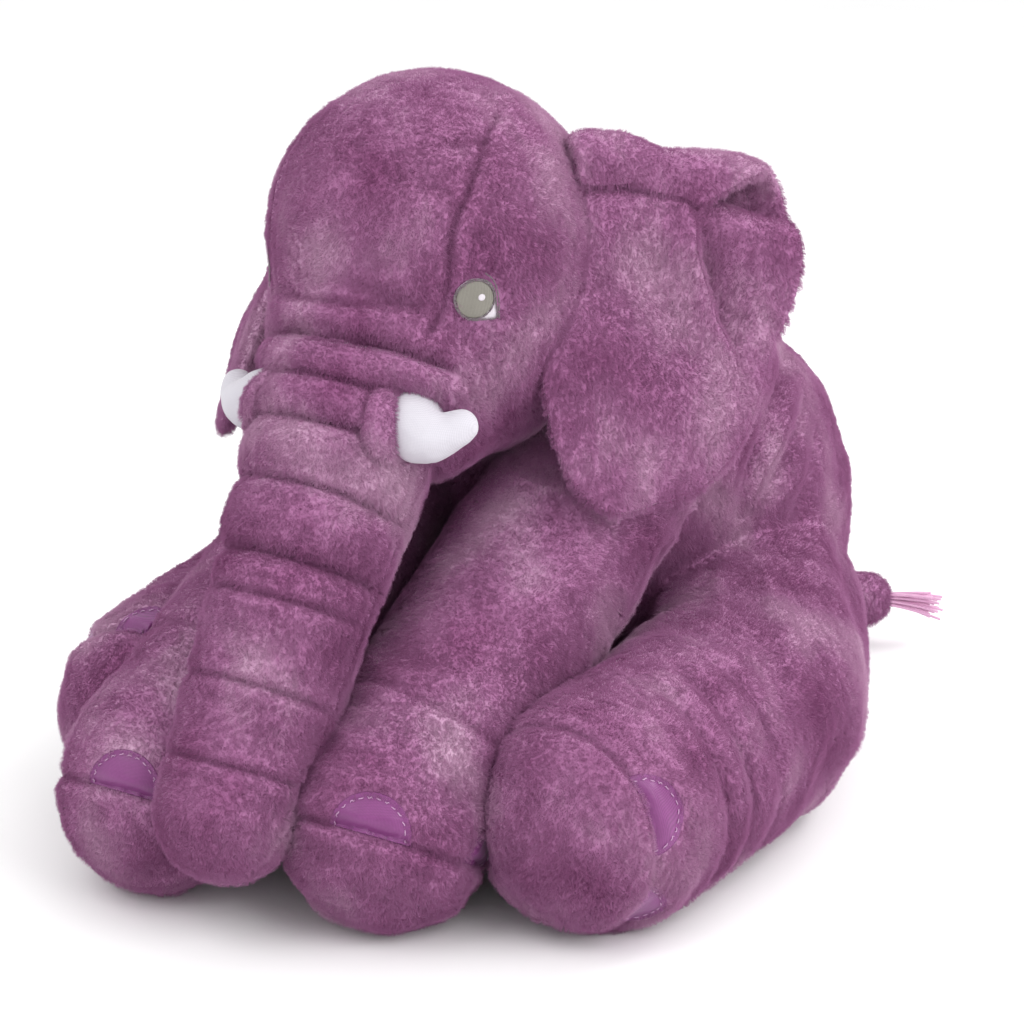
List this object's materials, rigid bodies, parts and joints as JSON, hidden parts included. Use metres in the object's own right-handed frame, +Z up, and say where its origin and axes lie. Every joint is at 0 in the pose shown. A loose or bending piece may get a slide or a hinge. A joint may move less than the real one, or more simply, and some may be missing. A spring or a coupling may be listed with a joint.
{
  "type": "stuffed elephant",
  "caption": "Large seated plush elephant with a hanging trunk, floppy ears, curved tusks and splayed legs, used as a cuddle pillow or floor toy.",
  "frame": {"origin": "on the floor, under the middle of the seated elephant's bounding box", "axes": "+Z up; the elephant faces -Y; +X is the elephant's own left side"},
  "size_m": [0.538, 0.7994, 0.526],
  "materials": {
    "plush": "short soft pile, purple-pink, brushed in drifts",
    "satin": "smooth darker purple knit with pale top stitching",
    "tusk_fleece": "smooth white fleece",
    "eye_white": "dense pale embroidery",
    "eye_iris": "dense grey-olive embroidery",
    "yarn": "pale pink twisted yarn",
    "stuffing": "loose polyester fibre"
  },
  "bodies": {
    "torso": {"torso_back_left": "plush", "torso_back_right": "plush", "torso_belly_panel": "plush", "torso_stuffing": "stuffing"},
    "head": {"head_forehead_gusset": "plush", "head_cheek_left": "plush", "head_cheek_right": "plush", "head_chin_panel": "plush", "head_stuffing": "stuffing", "eye_left_white": "eye_white", "eye_left_iris": "eye_iris", "eye_right_white": "eye_white", "eye_right_iris": "eye_iris", "tusk_left_collar": "plush", "tusk_left_cover": "tusk_fleece", "tusk_left_stuffing": "stuffing", "tusk_right_collar": "plush", "tusk_right_cover": "tusk_fleece", "tusk_right_stuffing": "stuffing"},
    "trunk": {"trunk_front_cover": "plush", "trunk_under_panel": "plush", "trunk_stuffing": "stuffing"},
    "ear_left": {"ear_left_front_panel": "plush", "ear_left_back_panel": "plush", "ear_left_batting": "stuffing"},
    "ear_right": {"ear_right_front_panel": "plush", "ear_right_back_panel": "plush", "ear_right_batting": "stuffing"},
    "foreleg_left": {"foreleg_left_sleeve": "plush", "foreleg_left_sole": "plush", "foreleg_left_toenails": "satin", "foreleg_left_stuffing": "stuffing"},
    "foreleg_right": {"foreleg_right_sleeve": "plush", "foreleg_right_sole": "plush", "foreleg_right_toenails": "satin", "foreleg_right_stuffing": "stuffing"},
    "hindleg_left": {"hindleg_left_sleeve": "plush", "hindleg_left_sole": "plush", "hindleg_left_toenails": "satin", "hindleg_left_stuffing": "stuffing"},
    "hindleg_right": {"hindleg_right_sleeve": "plush", "hindleg_right_sole": "plush", "hindleg_right_toenails": "satin", "hindleg_right_stuffing": "stuffing"},
    "tail": {"tail_cover": "plush", "tail_stuffing": "stuffing", "tail_tuft": "yarn"}
  },
  "joints": [
    {"name": "neck_nod", "type": "hinge", "parent": "torso", "child": "head", "pos_m": [0, -0.055, 0.33], "axis": [-1, 0, 0], "range_deg": [0, 12], "stiffness_Nm_per_rad": 1},
    {"name": "trunk_swing", "type": "hinge", "parent": "head", "child": "trunk", "pos_m": [0, -0.201, 0.335], "axis": [-1, 0, 0], "range_deg": [0, 40], "stiffness_Nm_per_rad": 0.15},
    {"name": "ear_left_flap", "type": "hinge", "parent": "head", "child": "ear_left", "pos_m": [0.101, -0.071, 0.478], "axis": [-0.5542, -0.8318, 0.03], "range_deg": [0, 35], "stiffness_Nm_per_rad": 0.05},
    {"name": "ear_right_flap", "type": "hinge", "parent": "head", "child": "ear_right", "pos_m": [-0.101, -0.071, 0.478], "axis": [-0.5542, 0.8318, -0.03], "range_deg": [0, 35], "stiffness_Nm_per_rad": 0.05},
    {"name": "foreleg_left_twist", "type": "hinge", "parent": "torso", "child": "foreleg_left", "pos_m": [0.08, -0.033, 0.245], "axis": [-0.0333, -0.8122, -0.5825], "range_deg": [-20, 20], "stiffness_Nm_per_rad": 0.4},
    {"name": "foreleg_right_twist", "type": "hinge", "parent": "torso", "child": "foreleg_right", "pos_m": [-0.08, -0.033, 0.245], "axis": [-0.0245, -0.8443, -0.5353], "range_deg": [-20, 20], "stiffness_Nm_per_rad": 0.4},
    {"name": "hindleg_left_splay", "type": "hinge", "parent": "torso", "child": "hindleg_left", "pos_m": [0.108, 0.117, 0.096], "axis": [0, 0, 1], "range_deg": [0, 20], "stiffness_Nm_per_rad": 0.6},
    {"name": "hindleg_right_splay", "type": "hinge", "parent": "torso", "child": "hindleg_right", "pos_m": [-0.108, 0.117, 0.096], "axis": [0, 0, -1], "range_deg": [0, 20], "stiffness_Nm_per_rad": 0.6},
    {"name": "tail_wag", "type": "hinge", "parent": "torso", "child": "tail", "pos_m": [0.038, 0.276, 0.066], "axis": [0, 0, 1], "range_deg": [0, 40], "stiffness_Nm_per_rad": 0.02}
  ]
}
